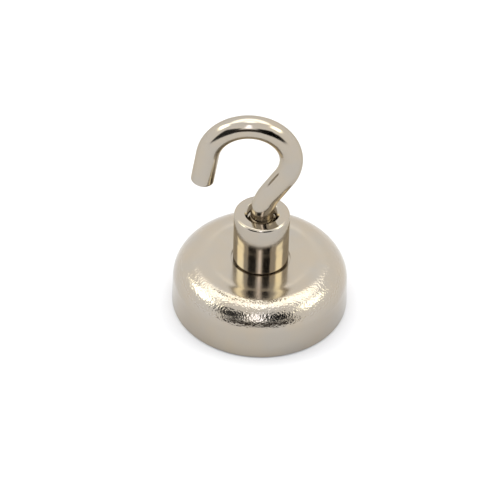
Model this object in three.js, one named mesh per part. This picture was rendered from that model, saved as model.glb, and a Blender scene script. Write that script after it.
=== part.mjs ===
// Small pot magnet with a screw-in hook, in millimetres.
//
// The origin is the middle of the flat pull face, +Z runs up the axis of the pot, its boss
// and its thread, and the hook is bent in the XZ plane with its tip towards -X.
//
// Pieces: a drawn steel pot, a turned boss with a tapped hole whose spigot is flared under the
// pot's end plate, a disc magnet glued into the pot, the glue round it, and a hook bent from
// one rod. The hook screws into the boss, so it turns and rises together. The rod is two nodes
// for that motion: the shank inside the boss rises, and the bent hook above it turns on it.

import * as THREE from "three";

// Pot
const POT_RADIUS = 12.5;
const POT_HEIGHT = 8;
const POT_SHOULDER = 3.7; // outer radius between end plate and wall
const POT_DRAFT = 0.2; // the wall draws in by this from rim to shoulder
const POT_WALL = 2;
const POT_PLATE = 2;
const POT_INNER_CORNER = 1;
const POT_RIM_ROUND = 0.3;

// Magnet and glue
const MAGNET_RADIUS = 9.9;
const MAGNET_CHAMFER = 0.25;
const MAGNET_RECESS = 0.15; // the face sits this far inside the rim
const MAGNET_TOP_FILM = 0.3; // glue between magnet and end plate
const GLUE_RECESS = 0.45;
const GLUE_CLEARANCE = 0.04;

// Boss
const BOSS_RADIUS = 3.95;
const BOSS_TOP = 16.25;
const BOSS_RIM_ROUND = 0.4;
const BOSS_FOOT_CHAMFER = 0.15;
const BOSS_SEAT_DEPTH = 0.3; // counterbore in the end plate
const BOSS_SEAT_GAP = 0.25; // ring gap left round the boss
const SPIGOT_RADIUS = 2.8;
const SPIGOT_FLARE = 0.6; // how far the swaged end spreads, and its depth
const SPIGOT_CLEARANCE = 0.03;

// Thread, M4 x 0.7
const THREAD_CREST_RADIUS = 1.95;
const THREAD_BORE_RADIUS = 2.02;
const THREAD_MOUTH_RADIUS = 2.5;
const SHANK_END = 7.3;
const SHANK_TOP = 15.35;
const SHANK_END_CHAMFER = 0.5;
const SHANK_TOP_CHAMFER = 0.3;

// Hook, bent from round rod
const ROD_RADIUS = 1.65;
const NECK_BEND_START = 16.25;
const NECK_BEND_RADIUS = 6.9;
const NECK_LEAN = THREE.MathUtils.degToRad(31.7);
const LIMB_LENGTH = 3.65;
const EYE_BEND_RADIUS = 5.85;
const EYE_SWEEP = THREE.MathUtils.degToRad(203.6);
const TIP_LENGTH = 4.95;
const ROD_JOINT_GAP = 0.02;

const POT_SIDES = 48;
const BOSS_SIDES = 32;
const ROD_SIDES = 20;
const ROD_STEP = 0.6;
const SHOULDER_STEPS = 6;
const SMALL_ROUND_STEPS = 3;

function plating(color, roughness) {
  return new THREE.MeshStandardMaterial({ color, roughness, metalness: 1 });
}

// Points of a quarter or other arc, angles in degrees from the outward direction.
function arc(centreR, centreZ, radius, fromDeg, toDeg, steps) {
  const points = [];
  for (let i = 0; i <= steps; i++) {
    const angle = THREE.MathUtils.degToRad(fromDeg + ((toDeg - fromDeg) * i) / steps);
    const r = centreR + radius * Math.cos(angle);
    const z = centreZ + radius * Math.sin(angle);
    points.push([r, z]);
  }
  return points;
}

// A body of revolution about Z. The profile is a list of [radius, height] points that runs
// counter-clockwise in the (radius, height) plane and closes on itself or on the axis.
function turned(name, profile, sides, material) {
  const points = profile.map(([r, z]) => new THREE.Vector2(r, z));
  const geometry = new THREE.LatheGeometry(points, sides);
  geometry.rotateX(Math.PI / 2);
  const mesh = new THREE.Mesh(geometry, material);
  mesh.name = name;
  return mesh;
}

function closed(profile) {
  return [...profile, profile[0]];
}

function pot() {
  const wallInside = POT_RADIUS - POT_WALL;
  const plateInside = POT_HEIGHT - POT_PLATE;
  const holeRadius = SPIGOT_RADIUS + SPIGOT_CLEARANCE;
  const flareRadius = holeRadius + SPIGOT_FLARE;
  const seatRadius = BOSS_RADIUS + BOSS_SEAT_GAP;
  const seatHeight = POT_HEIGHT - BOSS_SEAT_DEPTH;
  const rimCentre = POT_RIM_ROUND;
  const outerRim = POT_RADIUS - POT_RIM_ROUND;
  const innerRim = wallInside + POT_RIM_ROUND;
  const shoulderR = POT_RADIUS - POT_DRAFT - POT_SHOULDER;
  const shoulderZ = POT_HEIGHT - POT_SHOULDER;
  const cornerR = wallInside - POT_INNER_CORNER;
  const cornerZ = plateInside - POT_INNER_CORNER;
  const profile = [
    ...arc(innerRim, rimCentre, POT_RIM_ROUND, 180, 270, SMALL_ROUND_STEPS),
    ...arc(outerRim, rimCentre, POT_RIM_ROUND, 270, 360, SMALL_ROUND_STEPS),
    ...arc(shoulderR, shoulderZ, POT_SHOULDER, 0, 90, SHOULDER_STEPS),
    [seatRadius, POT_HEIGHT],
    [seatRadius, seatHeight],
    [holeRadius, seatHeight],
    [holeRadius, plateInside + SPIGOT_FLARE],
    [flareRadius, plateInside],
    ...arc(cornerR, cornerZ, POT_INNER_CORNER, 90, 0, SMALL_ROUND_STEPS),
  ];
  return turned("pot_shell", closed(profile), POT_SIDES, plating(0xc9c2b6, 0.28));
}

function magnet() {
  const top = POT_HEIGHT - POT_PLATE - MAGNET_TOP_FILM;
  const inner = MAGNET_RADIUS - MAGNET_CHAMFER;
  const profile = [
    [0, MAGNET_RECESS],
    [inner, MAGNET_RECESS],
    [MAGNET_RADIUS, MAGNET_RECESS + MAGNET_CHAMFER],
    [MAGNET_RADIUS, top - MAGNET_CHAMFER],
    [inner, top],
    [0, top],
  ];
  return turned("disc_magnet", profile, POT_SIDES, plating(0xbfc0c0, 0.2));
}

// The glue fills the ring between magnet and wall and lies as a film over the magnet.
function glue() {
  const film = POT_HEIGHT - POT_PLATE - MAGNET_TOP_FILM;
  const filmTop = POT_HEIGHT - POT_PLATE - GLUE_CLEARANCE;
  const filmUnder = film + GLUE_CLEARANCE;
  const outer = POT_RADIUS - POT_WALL - GLUE_CLEARANCE;
  const inner = MAGNET_RADIUS + GLUE_CLEARANCE;
  const cornerR = outer - POT_INNER_CORNER;
  const cornerZ = filmTop - POT_INNER_CORNER;
  const profile = [
    [0, filmUnder],
    [inner, filmUnder],
    [inner, GLUE_RECESS],
    [outer, GLUE_RECESS],
    ...arc(cornerR, cornerZ, POT_INNER_CORNER, 0, 90, SMALL_ROUND_STEPS),
    [0, filmTop],
  ];
  const material = new THREE.MeshStandardMaterial({ color: 0x2b2a28, roughness: 0.45 });
  return turned("glue_ring", profile, POT_SIDES, material);
}

function boss() {
  const seat = POT_HEIGHT - BOSS_SEAT_DEPTH;
  const foot = BOSS_RADIUS - BOSS_FOOT_CHAMFER;
  const spigotEnd = POT_HEIGHT - POT_PLATE;
  const rimR = BOSS_RADIUS - BOSS_RIM_ROUND;
  const rimZ = BOSS_TOP - BOSS_RIM_ROUND;
  const mouthDepth = THREAD_MOUTH_RADIUS - THREAD_BORE_RADIUS;
  const profile = [
    [THREAD_BORE_RADIUS, spigotEnd],
    [SPIGOT_RADIUS + SPIGOT_FLARE, spigotEnd],
    [SPIGOT_RADIUS, spigotEnd + SPIGOT_FLARE],
    [SPIGOT_RADIUS, seat],
    [foot, seat],
    [BOSS_RADIUS, seat + BOSS_FOOT_CHAMFER],
    ...arc(rimR, rimZ, BOSS_RIM_ROUND, 0, 90, SMALL_ROUND_STEPS),
    [THREAD_MOUTH_RADIUS, BOSS_TOP],
    [THREAD_BORE_RADIUS, BOSS_TOP - mouthDepth],
  ];
  return turned("threaded_boss", closed(profile), BOSS_SIDES, plating(0xd2cabc, 0.12));
}

function shank() {
  const profile = [
    [0, SHANK_END],
    [THREAD_CREST_RADIUS - SHANK_END_CHAMFER, SHANK_END],
    [THREAD_CREST_RADIUS, SHANK_END + SHANK_END_CHAMFER],
    [THREAD_CREST_RADIUS, SHANK_TOP - SHANK_TOP_CHAMFER],
    [THREAD_CREST_RADIUS - SHANK_TOP_CHAMFER, SHANK_TOP],
    [0, SHANK_TOP],
  ];
  return turned("threaded_shank", profile, BOSS_SIDES, plating(0xc4beb2, 0.2));
}

// The rod's centre line: straight runs and arcs, each with its length and the angle it turns
// through. A positive turn leans the rod towards +X, a negative one brings it back over.
class HookLine extends THREE.Curve {
  constructor() {
    super();
    this.start = SHANK_TOP + ROD_JOINT_GAP;
    this.runs = [
      { length: NECK_BEND_START - this.start, turn: 0 },
      { length: NECK_BEND_RADIUS * NECK_LEAN, turn: NECK_LEAN },
      { length: LIMB_LENGTH, turn: 0 },
      { length: EYE_BEND_RADIUS * EYE_SWEEP, turn: -EYE_SWEEP },
      { length: TIP_LENGTH, turn: 0 },
    ];
    this.total = this.runs.reduce((sum, run) => sum + run.length, 0);
  }

  getPoint(t, target = new THREE.Vector3()) {
    let left = t * this.total;
    let heading = 0;
    let x = 0;
    let z = this.start;
    for (const run of this.runs) {
      const along = Math.min(left, run.length);
      const bend = run.turn / run.length;
      const next = heading + bend * along;
      if (bend === 0) {
        x += along * Math.sin(heading);
        z += along * Math.cos(heading);
      } else {
        x += (Math.cos(heading) - Math.cos(next)) / bend;
        z += (Math.sin(next) - Math.sin(heading)) / bend;
      }
      heading = next;
      left -= along;
    }
    return target.set(x, 0, z);
  }
}

function hook() {
  const line = new HookLine();
  const section = new THREE.Shape();
  section.absarc(0, 0, ROD_RADIUS, 0, 2 * Math.PI);
  const geometry = new THREE.ExtrudeGeometry(section, {
    curveSegments: ROD_SIDES / 2, // an arc gets two sides for each
    steps: Math.round(line.total / ROD_STEP),
    extrudePath: line,
  });
  const mesh = new THREE.Mesh(geometry, plating(0xd2cabc, 0.1));
  mesh.name = "hook";
  return mesh;
}

const magnetWithHook = new THREE.Group();
magnetWithHook.add(pot(), magnet(), glue(), boss(), shank(), hook());

export default magnetWithHook;
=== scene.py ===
import math

import bpy
from mathutils import Matrix, Quaternion, Vector, noise


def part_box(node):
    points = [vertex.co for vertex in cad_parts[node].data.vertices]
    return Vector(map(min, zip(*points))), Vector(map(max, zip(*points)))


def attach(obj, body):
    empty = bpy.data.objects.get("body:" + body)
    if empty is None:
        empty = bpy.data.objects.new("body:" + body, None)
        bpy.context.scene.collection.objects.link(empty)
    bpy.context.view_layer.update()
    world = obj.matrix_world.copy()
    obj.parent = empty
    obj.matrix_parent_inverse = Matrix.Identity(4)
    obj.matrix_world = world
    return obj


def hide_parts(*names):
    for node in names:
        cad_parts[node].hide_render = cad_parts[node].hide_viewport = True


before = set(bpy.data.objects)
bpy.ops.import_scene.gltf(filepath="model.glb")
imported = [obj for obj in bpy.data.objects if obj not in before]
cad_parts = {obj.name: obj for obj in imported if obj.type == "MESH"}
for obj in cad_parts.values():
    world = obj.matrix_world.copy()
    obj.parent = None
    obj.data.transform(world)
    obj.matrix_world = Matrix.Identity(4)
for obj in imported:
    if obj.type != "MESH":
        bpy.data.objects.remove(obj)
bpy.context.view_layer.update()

# Everything is in metres, in the frame of the CAD model: origin in the middle of the pull face,
# +Z up the thread axis, the hook bent in the XZ plane with its tip towards -X.
MM = 0.001

# Sizes that the frame gives
POT_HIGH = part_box("pot_shell")[1]
BOSS_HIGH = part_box("threaded_boss")[1]
MAGNET_LOW, MAGNET_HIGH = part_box("disc_magnet")
GLUE_LOW, GLUE_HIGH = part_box("glue_ring")
SHANK_LOW, SHANK_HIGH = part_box("threaded_shank")
ROD_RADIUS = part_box("hook")[1].y

# Pot
POT_RADIUS = POT_HIGH.x
POT_TOP = POT_HIGH.z
POT_SHOULDER = 3.7 * MM
POT_DRAFT = 0.2 * MM
POT_RIM_ROUND = 0.3 * MM
POT_LIP_ROUND = 0.22 * MM
POT_INSIDE_RADIUS = 10.5 * MM
POT_INSIDE_TOP = 6.0 * MM
INSIDE_CORNER = 1.0 * MM
PRESSED_RING_RADIUS = 7.5 * MM
PRESSED_RING_WIDTH = 0.55 * MM
PRESSED_RING_DEPTH = 0.04 * MM

# Magnet and glue
MAGNET_EDGE_ROUND = 0.3 * MM
GLUE_FILM_GAP = 0.04 * MM
GLUE_DIP = 0.1 * MM
GLUE_UNEVENNESS = 0.09 * MM

# Boss, and its seat and spigot in the pot's end plate
BOSS_RADIUS = BOSS_HIGH.x
BOSS_TOP = BOSS_HIGH.z
BOSS_FOOT_CHAMFER = 0.15 * MM
BOSS_RIM_ROUND = 0.4 * MM
SEAT_RADIUS = BOSS_RADIUS + 0.25 * MM
SEAT_HEIGHT = POT_TOP - 0.3 * MM
SPIGOT_RADIUS = 2.8 * MM
SPIGOT_FLARE = 0.6 * MM
SPIGOT_CLEARANCE = 0.03 * MM

# M4 x 0.7 thread. The shank's ridge winds half a pitch away from the bore's.
PITCH = 0.7 * MM
CREST_RADIUS = SHANK_HIGH.x
CORE_RADIUS = 1.56 * MM
BORE_RADIUS = 2.02 * MM
BORE_CREST_RADIUS = 1.66 * MM
MOUTH_RADIUS = 2.5 * MM
MOUTH_DEPTH = MOUTH_RADIUS - BORE_RADIUS
BORE_RIDGE_START = POT_INSIDE_TOP + 0.4 * MM
BORE_RIDGE_END = BOSS_TOP - MOUTH_DEPTH - 0.1 * MM
SHANK_RIDGE_START = SHANK_LOW.z + 0.3 * MM
SHANK_RIDGE_END = SHANK_HIGH.z - 0.25 * MM
SHANK_RIDGE_PHASE = 2 * math.pi * ((SHANK_RIDGE_START - BORE_RIDGE_START) / PITCH + 0.5)

# Hook centre line, from the shank's end to the tip
NECK_START = BOSS_TOP
NECK_RADIUS = 6.9 * MM
NECK_LEAN = math.radians(31.7)
LIMB_LENGTH = 3.65 * MM
EYE_RADIUS = 5.85 * MM
EYE_SWEEP = math.radians(203.6)
TIP_LENGTH = 4.95 * MM
TIP_ROUNDING = 0.28 * MM
SHANK_CHAMFER = 0.35 * MM
ROD_SIDES = 64


# ---------------------------------------------------------------- mesh helpers


def mesh_object(name, vertices, faces, sharp_degrees=40):
    mesh = bpy.data.meshes.new(name)
    mesh.from_pydata(vertices, [], faces)
    mesh.validate()
    mesh.shade_smooth()
    mesh.set_sharp_from_angle(angle=math.radians(sharp_degrees))
    made = bpy.data.objects.new(name, mesh)
    bpy.context.scene.collection.objects.link(made)
    return made


def point_values(piece, name, kind, values):
    """Stores one number or vector for each vertex, for the material to read by name."""
    layer = piece.data.attributes.new(name, kind, "POINT")
    field = "vector" if kind == "FLOAT_VECTOR" else "value"
    flat = [x for v in values for x in v] if kind == "FLOAT_VECTOR" else values
    layer.data.foreach_set(field, flat)


def rounded_outline(corners, step, fine):
    """A closed outline of (radius, height) points.

    Each corner is (radius, height, rounding). Roundings get the given number of pieces, and
    straight runs are cut into steps."""
    arcs = []
    count = len(corners)
    for i, (r, z, rounding) in enumerate(corners):
        here = Vector((r, z))
        before = (Vector(corners[i - 1][:2]) - here).normalized()
        after = (Vector(corners[(i + 1) % count][:2]) - here).normalized()
        if rounding <= 0:
            arcs.append([here])
            continue
        half = before.angle(after) / 2
        reach = rounding / math.tan(half)
        centre = here + (before + after).normalized() * (rounding / math.sin(half))
        first = here + before * reach - centre
        last = here + after * reach - centre
        turn = first.angle_signed(last)
        points = []
        for k in range(fine + 1):
            a = -turn * k / fine
            points.append(centre + Matrix.Rotation(a, 2) @ first)
        arcs.append(points)
    outline = []
    for i, points in enumerate(arcs):
        outline += points
        run = arcs[(i + 1) % count][0] - points[-1]
        pieces = max(1, round(run.length / step))
        outline += [points[-1] + run * (k / pieces) for k in range(1, pieces)]
    return outline


def fill_flats(outline, step):
    """Cuts the long straight runs of an outline into steps."""
    out = [outline[0]]
    for a, b in zip(outline, outline[1:]):
        pieces = max(1, round((b - a).length / step))
        out += [a + (b - a) * (k / pieces) for k in range(1, pieces + 1)]
    return out


def edge_round(radius, height, rounding, upper):
    """Arc points that round the upper or the lower outer edge of a disc."""
    pieces = 8
    centre_z = height - rounding if upper else height + rounding
    points = []
    for k in range(pieces + 1):
        a = math.radians(90 * k / pieces - (0 if upper else 90))
        r = radius - rounding + rounding * math.cos(a)
        points.append(Vector((r, centre_z + rounding * math.sin(a))))
    return points


def turned(name, outline, sides, lift=None):
    """A body of revolution about Z, from a closed outline or one that starts and ends on the axis.

    lift(x, y, z) may raise a vertex a little. The marks, stored for the material, are x, y and
    the distance along the outline."""
    vertices, marks, rings = [], [], []
    along = 0.0
    for i, point in enumerate(outline):
        along += (point - outline[i - 1]).length if i else 0.0
        first = len(vertices)
        count = sides if point.x > 0 else 1
        for k in range(count):
            a = 2 * math.pi * k / sides
            x, y, z = point.x * math.cos(a), point.x * math.sin(a), point.y
            vertices.append((x, y, z + (lift(x, y, z) if lift else 0.0)))
            marks.append((x, y, along))
        rings.append([first + k % count for k in range(sides)])
    faces = []
    for low, high in zip(rings, rings[1:] + rings[:1]):
        for k in range(sides):
            m = (k + 1) % sides
            face = tuple(dict.fromkeys((low[k], low[m], high[m], high[k])))
            if len(face) > 2:
                faces.append(face)
    piece = mesh_object(name, vertices, faces)
    point_values(piece, "marks", "FLOAT_VECTOR", marks)
    return piece


def helix_ridge(start, end, base_radius, crest_radius, base_width, crest_width, fade_turns, phase):
    """Vertices and faces of one thread ridge wound about Z.

    The ridge rises out of its base over the first fade_turns and sinks back over the last."""
    steps_per_turn = 48
    least_rise = 0.05
    turns = (end - start) / PITCH
    steps = round(turns * steps_per_turn)
    vertices, faces = [], []
    for i in range(steps + 1):
        turn = i / steps_per_turn
        a = 2 * math.pi * turn + phase
        z = start + PITCH * turn
        rise = min(1.0, turn / fade_turns, (turns - turn) / fade_turns)
        rise = max(rise, least_rise)
        crest = base_radius + (crest_radius - base_radius) * rise
        section = (
            (base_radius, -base_width / 2),
            (crest, -crest_width / 2),
            (crest, crest_width / 2),
            (base_radius, base_width / 2),
        )
        for r, dz in section:
            vertices.append((r * math.cos(a), r * math.sin(a), z + dz))
    outward = crest_radius > base_radius
    for i in range(steps):
        low, high = 4 * i, 4 * (i + 1)
        for k in range(4):
            m = (k + 1) % 4
            face = (low + k, low + m, high + m, high + k)
            faces.append(tuple(reversed(face)) if outward else face)
    ends = [(0, 1, 2, 3), tuple(4 * steps + k for k in (3, 2, 1, 0))]
    faces += ends if outward else [tuple(reversed(face)) for face in ends]
    return vertices, faces


def add_ridge(piece, vertices, faces):
    """Joins a thread ridge to a piece, as a second closed shell of the same mesh."""
    other = mesh_object(piece.name + "_part", vertices, faces, sharp_degrees=25)
    point_values(other, "marks", "FLOAT_VECTOR", vertices)
    with bpy.context.temp_override(
        active_object=piece, selected_editable_objects=[piece, other]
    ):
        bpy.ops.object.join()


# ---------------------------------------------------------------- materials

NICKEL_WARM = (0.425, 0.37, 0.295)
NICKEL_COOL = (0.40, 0.365, 0.315)
NICKEL_EDGE = (0.72, 0.68, 0.6)

class Nodes:
    """A material's node tree, with short calls to add and join nodes."""

    def __init__(self, name):
        self.material = bpy.data.materials.new(name)
        self.material.use_nodes = True
        self.tree = self.material.node_tree
        self.shader = self.tree.nodes["Principled BSDF"]

    def add(self, kind, settings=None, inputs=None):
        """Adds a node. Inputs are constants, or other nodes' outputs to link."""
        node = self.tree.nodes.new(kind)
        for key, value in (settings or {}).items():
            setattr(node, key, value)
        for key, value in (inputs or {}).items():
            if isinstance(value, bpy.types.NodeSocket):
                self.tree.links.new(value, node.inputs[key])
            else:
                node.inputs[key].default_value = value
        return node

    def noise(self, vector, scale, detail=3.0, rough=0.5):
        node = self.add(
            "ShaderNodeTexNoise",
            inputs={"Vector": vector, "Scale": scale, "Detail": detail, "Roughness": rough},
        )
        return node.outputs["Fac"]

    def remap(self, value, low, high, to_low, to_high):
        node = self.add(
            "ShaderNodeMapRange",
            inputs={
                "Value": value,
                "From Min": low,
                "From Max": high,
                "To Min": to_low,
                "To Max": to_high,
            },
        )
        return node.outputs["Result"]

    def math(self, operation, a, b):
        node = self.add("ShaderNodeMath", {"operation": operation}, {0: a, 1: b})
        return node.outputs[0]

    def edge_fade(self, value, centre, reach, edge):
        """1 within reach of the centre, fading smoothly to 0 over the edge inside it."""
        away = self.math("ABSOLUTE", self.math("SUBTRACT", value, centre), 0.0)
        node = self.add(
            "ShaderNodeMapRange",
            {"interpolation_type": "SMOOTHSTEP"},
            {"Value": away, "From Min": reach - edge, "From Max": reach, "To Min": 1.0, "To Max": 0.0},
        )
        return node.outputs["Result"]

    def stretched(self, vector, scale):
        node = self.add("ShaderNodeVectorMath", {"operation": "MULTIPLY"}, {0: vector, 1: scale})
        return node.outputs["Vector"]

    def mix_colour(self, factor, first, second):
        node = self.add("ShaderNodeMix", {"data_type": "RGBA"})
        self.tree.links.new(factor, node.inputs[0])
        node.inputs[6].default_value = (*first, 1)
        node.inputs[7].default_value = (*second, 1)
        return node.outputs[2]

    def bump(self, height, distance, normal=None):
        inputs = {"Height": height, "Distance": distance, "Strength": 1.0}
        if normal is not None:
            inputs["Normal"] = normal
        return self.add("ShaderNodeBump", inputs=inputs).outputs["Normal"]

    def join(self, output, socket):
        self.tree.links.new(output, self.shader.inputs[socket])


def nickel(name, roughness, line_stretch, line_depth, grain_depth, edge=NICKEL_EDGE, peel_depth=0.0):
    """Nickel plating: slight tint clouds, uneven gloss, fine lines left by turning or drawing, and grain.

    line_stretch scales the stored marks so that noise becomes lines, and the depths are in metres.
    edge tints the shine at grazing angles. A peel_depth adds orange peel, and a sharper shine, where
    the piece's peel value is above 0."""
    n = Nodes(name)
    n.shader.inputs["Metallic"].default_value = 1.0
    n.shader.inputs["Specular Tint"].default_value = (*edge, 1)
    place = n.add("ShaderNodeTexCoord").outputs["Object"]
    marks = n.add("ShaderNodeAttribute", {"attribute_name": "marks"}).outputs["Vector"]

    clouds = n.noise(place, 220.0, 3.0, 0.55)
    tint = n.mix_colour(n.remap(clouds, 0.35, 0.65, 0.0, 1.0), NICKEL_WARM, NICKEL_COOL)
    n.join(tint, "Base Color")

    lines = n.noise(n.stretched(marks, line_stretch), 1.0, 4.0, 0.6)
    smudges = n.noise(place, 420.0, 4.0, 0.6)
    smudged = n.remap(smudges, 0.3, 0.7, roughness * 0.85, roughness * 1.25)
    streaks = n.remap(lines, 0.3, 0.7, -0.015, 0.02)
    uneven = n.math("ADD", smudged, streaks)

    grain = n.noise(place, 5200.0, 2.0, 0.5)
    normal = n.bump(lines, line_depth)
    normal = n.bump(grain, grain_depth, normal)
    if peel_depth:
        amount = n.add("ShaderNodeAttribute", {"attribute_name": "peel"}).outputs["Fac"]
        uneven = n.math("SUBTRACT", uneven, n.math("MULTIPLY", amount, 0.03))
        peel = n.noise(place, 3300.0, 1.0, 0.4)
        normal = n.bump(n.math("MULTIPLY", peel, amount), peel_depth, normal)
    n.join(uneven, "Roughness")
    n.join(normal, "Normal")
    return n.material


def epoxy():
    """Dark cured epoxy: cloudy, with pin-sized bubbles and an uneven shine."""
    n = Nodes("epoxy")
    place = n.add("ShaderNodeTexCoord").outputs["Object"]
    clouds = n.noise(place, 900.0, 4.0, 0.6)
    n.join(n.mix_colour(clouds, (0.018, 0.018, 0.017), (0.05, 0.048, 0.043)), "Base Color")
    n.join(n.remap(clouds, 0.3, 0.7, 0.22, 0.5), "Roughness")
    voronoi = n.add("ShaderNodeTexVoronoi", inputs={"Vector": place, "Scale": 2600.0})
    bubbles = voronoi.outputs["Distance"]
    pits = n.remap(bubbles, 0.05, 0.25, 0.0, 1.0)
    normal = n.bump(pits, 0.01 * MM)
    n.join(n.bump(clouds, 0.05 * MM, normal), "Normal")
    return n.material


# ---------------------------------------------------------------- pieces


def pot_lift(x, y, z):
    """The drawn end plate isn't quite flat: a faint pressed ring, and a slow waviness."""
    if z < POT_TOP - 1e-7:
        return 0.0
    r = math.hypot(x, y)
    off_ring = (r - PRESSED_RING_RADIUS) / PRESSED_RING_WIDTH
    ring = -PRESSED_RING_DEPTH * math.exp(-(off_ring**2))
    inside_edge = (POT_RADIUS - POT_SHOULDER - r) / (1.5 * MM)
    wave = 0.006 * MM * (noise.noise(Vector((x, y, 0)) * 260) - 1.0)
    return ring + wave * min(1.0, max(0.0, inside_edge))


def peel_amount(point):
    """1 on the pot's rounded shoulder, where drawing roughened the steel, fading to 0 round it."""
    r = math.hypot(point.x, point.y)
    out = (r - (POT_RADIUS - POT_SHOULDER)) / POT_SHOULDER
    up = (point.z - (POT_TOP - POT_SHOULDER)) / POT_SHOULDER
    return max(0.0, min(1.0, 4 * out)) * max(0.0, min(1.0, 4 * up + 0.3))


def pot():
    """The drawn steel pot, open downwards, with a rounded shoulder and a seat for the boss."""
    hole = SPIGOT_RADIUS + SPIGOT_CLEARANCE
    corners = [
        (POT_INSIDE_RADIUS, 0, POT_LIP_ROUND),
        (POT_RADIUS, 0, POT_RIM_ROUND),
        (POT_RADIUS - POT_DRAFT, POT_TOP, POT_SHOULDER),
        (SEAT_RADIUS, POT_TOP, 0.04 * MM),
        (SEAT_RADIUS, SEAT_HEIGHT, 0),
        (hole, SEAT_HEIGHT, 0),
        (hole, POT_INSIDE_TOP + SPIGOT_FLARE, 0),
        (hole + SPIGOT_FLARE, POT_INSIDE_TOP, 0),
        (POT_INSIDE_RADIUS, POT_INSIDE_TOP, INSIDE_CORNER),
    ]
    outline = rounded_outline(corners, step=0.25 * MM, fine=24)
    piece = turned("pot", outline, 256, pot_lift)
    point_values(piece, "peel", "FLOAT", [peel_amount(v.co) for v in piece.data.vertices])
    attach(piece, "pot")
    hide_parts("pot_shell")
    plating = nickel(
        "satin_nickel",
        roughness=0.15,
        line_stretch=(60, 60, 7000),
        line_depth=0.0012 * MM,
        grain_depth=0.0016 * MM,
        edge=(1, 1, 1),
        peel_depth=0.05 * MM,
    )
    piece.data.materials.append(plating)


def boss():
    """The turned boss: chamfered foot in its seat, rounded rim, countersunk mouth and tapped bore."""
    corners = [
        (BORE_RADIUS, POT_INSIDE_TOP, 0),
        (SPIGOT_RADIUS + SPIGOT_FLARE, POT_INSIDE_TOP, 0),
        (SPIGOT_RADIUS, POT_INSIDE_TOP + SPIGOT_FLARE, 0),
        (SPIGOT_RADIUS, SEAT_HEIGHT, 0),
        (BOSS_RADIUS - BOSS_FOOT_CHAMFER, SEAT_HEIGHT, 0),
        (BOSS_RADIUS, SEAT_HEIGHT + BOSS_FOOT_CHAMFER, 0.05 * MM),
        (BOSS_RADIUS, BOSS_TOP, BOSS_RIM_ROUND),
        (MOUTH_RADIUS, BOSS_TOP, 0.06 * MM),
        (BORE_RADIUS, BOSS_TOP - MOUTH_DEPTH, 0),
    ]
    piece = turned("boss", rounded_outline(corners, step=0.2 * MM, fine=12), 160)
    vertices, faces = helix_ridge(
        BORE_RIDGE_START,
        BORE_RIDGE_END,
        base_radius=BORE_RADIUS + 0.02 * MM,
        crest_radius=BORE_CREST_RADIUS,
        base_width=0.5 * MM,
        crest_width=0.09 * MM,
        fade_turns=0.7,
        phase=0.0,
    )
    add_ridge(piece, vertices, faces)
    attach(piece, "pot")
    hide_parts("threaded_boss")
    plating = nickel(
        "turned_nickel",
        roughness=0.08,
        line_stretch=(60, 60, 9000),
        line_depth=0.001 * MM,
        grain_depth=0.0006 * MM,
    )
    piece.data.materials.append(plating)


def magnet():
    """The plated disc magnet, with tumbled edges."""
    outline = [
        Vector((0, MAGNET_LOW.z)),
        *edge_round(MAGNET_HIGH.x, MAGNET_LOW.z, MAGNET_EDGE_ROUND, upper=False),
        *edge_round(MAGNET_HIGH.x, MAGNET_HIGH.z, MAGNET_EDGE_ROUND, upper=True),
        Vector((0, MAGNET_HIGH.z)),
    ]
    piece = turned("magnet", fill_flats(outline, 0.5 * MM), 160)
    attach(piece, "pot")
    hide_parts("disc_magnet")
    plating = nickel(
        "magnet_nickel",
        roughness=0.2,
        line_stretch=(300, 300, 300),
        line_depth=0.0008 * MM,
        grain_depth=0.002 * MM,
    )
    piece.data.materials.append(plating)


def glue_lift(x, y, z):
    """The poured ring of glue is a little uneven on its open face."""
    if z > GLUE_LOW.z + 0.2 * MM:
        return 0.0
    return GLUE_UNEVENNESS * (0.5 + noise.noise(Vector((x, y, 0)) * 700))


def glue():
    """The epoxy: a ring whose open face dips between magnet and pot, and a film over the magnet."""
    outer = GLUE_HIGH.x
    inner = MAGNET_HIGH.x + GLUE_FILM_GAP
    film_low = MAGNET_HIGH.z + GLUE_FILM_GAP
    dip = []
    for k in range(9):
        across = k / 8
        sag = GLUE_DIP * 4 * across * (1 - across)
        dip.append(Vector((inner + (outer - inner) * across, GLUE_LOW.z + sag)))
    outline = [
        Vector((0, film_low)),
        Vector((inner, film_low)),
        *dip,
        *edge_round(outer, GLUE_HIGH.z, INSIDE_CORNER, upper=True),
        Vector((0, GLUE_HIGH.z)),
    ]
    piece = turned("glue", outline, 240, glue_lift)
    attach(piece, "pot")
    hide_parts("glue_ring")
    piece.data.materials.append(epoxy())


def hook_stations():
    """(distance along the rod, x, z, heading, radius) from the shank's end to the hook's tip."""
    runs = [
        (NECK_START - SHANK_LOW.z, 0.0),
        (NECK_RADIUS * NECK_LEAN, NECK_LEAN),
        (LIMB_LENGTH, 0.0),
        (EYE_RADIUS * EYE_SWEEP, -EYE_SWEEP),
        (TIP_LENGTH, 0.0),
    ]
    total = sum(length for length, _ in runs)
    x, z, heading, travelled = 0.0, SHANK_LOW.z, 0.0, 0.0
    stations = []
    for length, turn in runs:
        pieces = max(4, round(length / (0.16 * MM)))
        bend = turn / length
        for k in range(pieces):
            a = length * k / pieces
            now = heading + bend * a
            if turn:
                px = x + (math.cos(heading) - math.cos(now)) / bend
                pz = z + (math.sin(now) - math.sin(heading)) / bend
            else:
                px = x + a * math.sin(heading)
                pz = z + a * math.cos(heading)
            stations.append((travelled + a, px, pz, now))
        if turn:
            after = heading + turn
            x += (math.cos(heading) - math.cos(after)) / bend
            z += (math.sin(after) - math.sin(heading)) / bend
            heading = after
        else:
            x += length * math.sin(heading)
            z += length * math.cos(heading)
        travelled += length
    stations.append((total, x, z, heading))
    return [(s, px, pz, h, rod_radius(s, total)) for s, px, pz, h in stations]


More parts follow.
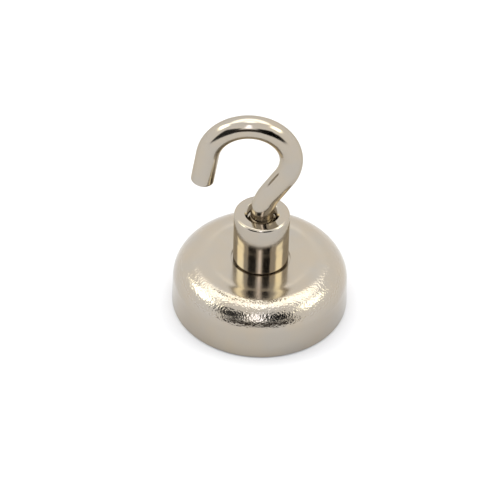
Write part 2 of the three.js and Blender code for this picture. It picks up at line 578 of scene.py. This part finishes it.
def rod_radius(along, total):
    """The core's radius under the thread and the rod's above it, with chamfered and rounded ends."""
    thread_top = SHANK_HIGH.z - SHANK_LOW.z
    if along < thread_top - SHANK_CHAMFER:
        return min(CORE_RADIUS, CORE_RADIUS - SHANK_CHAMFER + along)
    if along < thread_top:
        part = (along - thread_top + SHANK_CHAMFER) / SHANK_CHAMFER
        return CORE_RADIUS + (ROD_RADIUS - CORE_RADIUS) * part
    left = total - along
    if left < TIP_ROUNDING:
        drop = 1 - left / TIP_ROUNDING
        return ROD_RADIUS - TIP_ROUNDING * (1 - math.sqrt(max(0.0, 1 - drop * drop)))
    return ROD_RADIUS


def hook():
    """The bent rod with its rolled thread, one piece from the end of the shank to the tip."""
    stations = hook_stations()
    total, tip_x, tip_z, tip_heading, _ = stations[-1]
    for k in range(1, 7):
        back = TIP_ROUNDING * (1 - math.sin(math.pi / 2 * k / 7))
        x = tip_x - back * math.sin(tip_heading)
        z = tip_z - back * math.cos(tip_heading)
        stations.append((total - back, x, z, tip_heading, rod_radius(total - back, total)))
    stations.sort(key=lambda station: station[0])
    vertices, marks, faces = [], [], []
    for s, x, z, heading, radius in stations:
        for k in range(ROD_SIDES):
            a = 2 * math.pi * k / ROD_SIDES
            across, aside = radius * math.cos(a), radius * math.sin(a)
            rod_x = x + across * math.cos(heading)
            rod_z = z - across * math.sin(heading)
            vertices.append((rod_x, aside, rod_z))
            marks.append((ROD_RADIUS * math.cos(a), ROD_RADIUS * math.sin(a), s))
    rings = len(stations)
    for i in range(rings - 1):
        for k in range(ROD_SIDES):
            m = (k + 1) % ROD_SIDES
            low, high = i * ROD_SIDES, (i + 1) * ROD_SIDES
            faces.append((low + k, high + k, high + m, low + m))
    faces.append(tuple(range(ROD_SIDES)))
    faces.append(tuple(reversed(range((rings - 1) * ROD_SIDES, rings * ROD_SIDES))))
    piece = mesh_object("hook_rod", vertices, faces)
    point_values(piece, "marks", "FLOAT_VECTOR", marks)
    vertices, faces = helix_ridge(
        SHANK_RIDGE_START,
        SHANK_RIDGE_END,
        base_radius=CORE_RADIUS - 0.03 * MM,
        crest_radius=CREST_RADIUS,
        base_width=0.56 * MM,
        crest_width=0.1 * MM,
        fade_turns=0.8,
        phase=SHANK_RIDGE_PHASE,
    )
    add_ridge(piece, vertices, faces)
    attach(piece, "hook")
    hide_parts("hook", "threaded_shank")
    plating = nickel(
        "drawn_nickel",
        roughness=0.12,
        line_stretch=(4200, 4200, 40),
        line_depth=0.0022 * MM,
        grain_depth=0.001 * MM,
    )
    piece.data.materials.append(plating)


# ---------------------------------------------------------------- studio

# Camera, and the point that it looks at
TARGET = Vector((-1.535, 0, 9.19)) * MM
CAMERA_AZIMUTH = math.radians(0.2)
CAMERA_ELEVATION = math.radians(41.69)
CAMERA_DISTANCE = 590.7 * MM
CAMERA_ROLL = math.radians(1.783)
CAMERA_LENS = 300.16

FLAG_DISTANCE = 50 * MM
FLAG_SOFTNESS = 0.3
TABLE_WHITE = (0.67, 0.675, 0.71)


def direction(azimuth, elevation):
    """A unit vector. Azimuth 0 is the camera's side, -Y, and positive azimuths turn towards +X."""
    return Vector(
        (
            math.cos(elevation) * math.sin(azimuth),
            -math.cos(elevation) * math.cos(azimuth),
            math.sin(elevation),
        )
    )


def sheet(name, corners):
    """A four-cornered surface that belongs to the studio."""
    mesh = bpy.data.meshes.new(name)
    mesh.from_pydata(corners, [], [(0, 1, 2, 3)])
    made = bpy.data.objects.new(name, mesh)
    bpy.context.scene.collection.objects.link(made)
    return made


def camera():
    data = bpy.data.cameras.new("camera")
    data.lens = CAMERA_LENS
    data.sensor_width = 36
    data.clip_start = 0.01
    made = bpy.data.objects.new("camera", data)
    away = direction(CAMERA_AZIMUTH, CAMERA_ELEVATION)
    aim = (-away).to_track_quat("-Z", "Y") @ Quaternion((0, 0, 1), CAMERA_ROLL)
    made.matrix_world = Matrix.Translation(TARGET + away * CAMERA_DISTANCE) @ aim.to_matrix().to_4x4()
    bpy.context.scene.collection.objects.link(made)
    bpy.context.scene.camera = made


def flag(name, azimuth, half_width, low, high, grey):
    """A dark upright card near the object, on the camera's side, that shows only in its reflections.

    The azimuth is in degrees. The card's edges are soft."""
    away = direction(math.radians(azimuth), 0)
    aside = direction(math.radians(azimuth + 90), 0)
    corners = [(-half_width, low), (half_width, low), (half_width, high), (-half_width, high)]
    places = [away * FLAG_DISTANCE + aside * x + Vector((0, 0, z)) for x, z in corners]
    card = sheet(name, places)
    point_values(card, "across", "FLOAT_VECTOR", [(-1, -1, 0), (1, -1, 0), (1, 1, 0), (-1, 1, 0)])

    n = Nodes(name)
    place = n.add("ShaderNodeAttribute", {"attribute_name": "across"}).outputs["Vector"]
    parts = n.add("ShaderNodeSeparateXYZ", inputs={0: place})
    mask = n.math(
        "MULTIPLY",
        n.edge_fade(parts.outputs["X"], 0.0, 1.0, FLAG_SOFTNESS),
        n.edge_fade(parts.outputs["Y"], 0.0, 1.0, FLAG_SOFTNESS),
    )
    dark = n.add("ShaderNodeEmission", inputs={"Color": (grey, grey, grey, 1), "Strength": 1.0})
    clear = n.add("ShaderNodeBsdfTransparent")
    blend = n.add("ShaderNodeMixShader", inputs={0: mask, 1: clear.outputs[0], 2: dark.outputs[0]})
    n.tree.links.new(blend.outputs[0], n.tree.nodes["Material Output"].inputs["Surface"])
    card.data.materials.append(n.material)
    card.visible_camera = False
    card.visible_diffuse = False
    card.visible_shadow = False


class Sky(Nodes):
    """The light tent round the object, painted by direction onto the world."""

    def __init__(self, colour):
        self.world = bpy.data.worlds.new("tent")
        self.world.use_nodes = True
        self.tree = self.world.node_tree
        place = self.add("ShaderNodeTexCoord").outputs["Generated"]
        parts = self.add("ShaderNodeSeparateXYZ", inputs={0: place})
        toward = self.math("MULTIPLY", parts.outputs["Y"], -1.0)
        self.azimuth = self.math("ARCTAN2", parts.outputs["X"], toward)
        self.elevation = self.math("ARCSINE", parts.outputs["Z"], 0.0)
        self.colour = self.add("ShaderNodeRGB").outputs[0]
        self.colour.default_value = (*colour, 1)

    def paint(self, azimuth, elevation, half_width, half_height, soft, colour):
        """Paints one soft-edged patch over those before it. All angles are in degrees."""
        across = self.turned_from(azimuth)
        width, height, edge = (math.radians(x) for x in (half_width, half_height, soft))
        mask = self.math(
            "MULTIPLY",
            self.edge_fade(across, 0.0, width, edge),
            self.edge_fade(self.elevation, math.radians(elevation), height, edge),
        )
        node = self.add("ShaderNodeMix", {"data_type": "RGBA"})
        self.tree.links.new(mask, node.inputs[0])
        self.tree.links.new(self.colour, node.inputs[6])
        node.inputs[7].default_value = (*colour, 1)
        self.colour = node.outputs[2]

    def turned_from(self, azimuth):
        """How far a direction's azimuth lies from the given one, wrapped to half a turn either way."""
        away = self.math("SUBTRACT", self.azimuth, math.radians(azimuth))
        node = self.add("ShaderNodeMath", {"operation": "WRAP"}, {0: away, 1: math.pi, 2: -math.pi})
        return node.outputs[0]

    def hang(self):
        """Makes the painted sky the scene's world."""
        self.tree.links.new(self.colour, self.tree.nodes["Background"].inputs["Color"])
        bpy.context.scene.world = self.world


def lights():
    """A white tent with bright panels left, right and overhead, and a dark camera side."""
    sky = Sky((1.3, 1.3, 1.3))
    # left and right panels
    sky.paint(-94, 41, 24, 15, 10, (5.0, 5.0, 4.3))
    sky.paint(84, 41, 22, 15, 10, (4.8, 4.8, 4.1))
    # overhead panel, reaching down at the back
    sky.paint(180, 90, 180, 16, 8, (3.4, 3.4, 3.4))
    sky.paint(180, 63, 88, 18, 14, (3.5, 3.45, 3.2))
    # plain tent above the camera, the bright slit that it looks through, and the dark room below it
    sky.paint(0, 68, 80, 18, 8, (1.25, 1.25, 1.25))
    sky.paint(-3, 42, 7, 18, 4, (3.6, 3.6, 4.0))
    sky.paint(0, -4, 50, 28, 10, (0.06, 0.05, 0.045))
    sky.hang()
    # dark cards on both sides of the slit
    flag("left_flag", -34, 18 * MM, 20 * MM, 64 * MM, 0.03)
    flag("right_flag", 23, 16 * MM, 20 * MM, 64 * MM, 0.0)


def table():
    """The white table, which ends a little in front of the object. It lies just under the pull face."""
    half, front, low = 3.0, -0.35, -0.01 * MM
    corners = [(-half, front, low), (half, front, low), (half, half, low), (-half, half, low)]
    top = sheet("table", corners)
    n = Nodes("table_white")
    n.shader.inputs["Base Color"].default_value = (*TABLE_WHITE, 1)
    n.shader.inputs["Roughness"].default_value = 0.9
    n.shader.inputs["Specular IOR Level"].default_value = 0.0
    top.data.materials.append(n.material)


def view_colours():
    """Shows the rendered light as it is, with no film look."""
    view = bpy.context.scene.view_settings
    view.view_transform = "Standard"
    view.look = "None"


pot()
boss()
magnet()
glue()
hook()
camera()
lights()
table()
view_colours()
